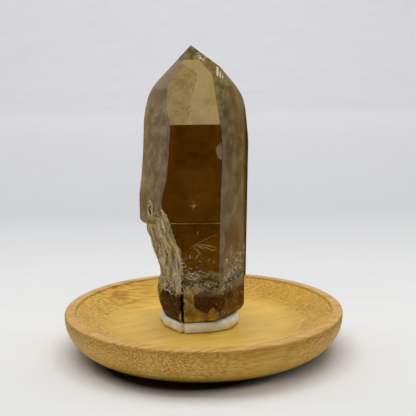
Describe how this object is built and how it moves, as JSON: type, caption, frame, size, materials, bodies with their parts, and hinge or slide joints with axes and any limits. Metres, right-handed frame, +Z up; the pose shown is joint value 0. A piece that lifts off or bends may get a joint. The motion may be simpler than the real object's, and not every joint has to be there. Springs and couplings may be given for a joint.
{
  "type": "lemurian smoky quartz point",
  "caption": "Upright smoky quartz crystal point with a broken foot, pressed into a pad of white putty on a shallow round bamboo dish.",
  "frame": {"origin": "middle of the underside of the dish, on the surface it stands on", "axes": "+Z up, along the crystal; the crystal's widest clear face looks towards -Y; +X to the right"},
  "size_m": [0.1, 0.1, 0.1085],
  "materials": {
    "smoky_quartz": "clear smoky brown with frosted side faces and an iron-stained broken foot",
    "putty": "soft, smooth, off-white",
    "bamboo": "satin, with fine dark fibre ends on the rim"
  },
  "bodies": {
    "root": {"quartz_point": "smoky_quartz", "putty_pad": "putty", "bamboo_dish": "bamboo"}
  },
  "joints": []
}
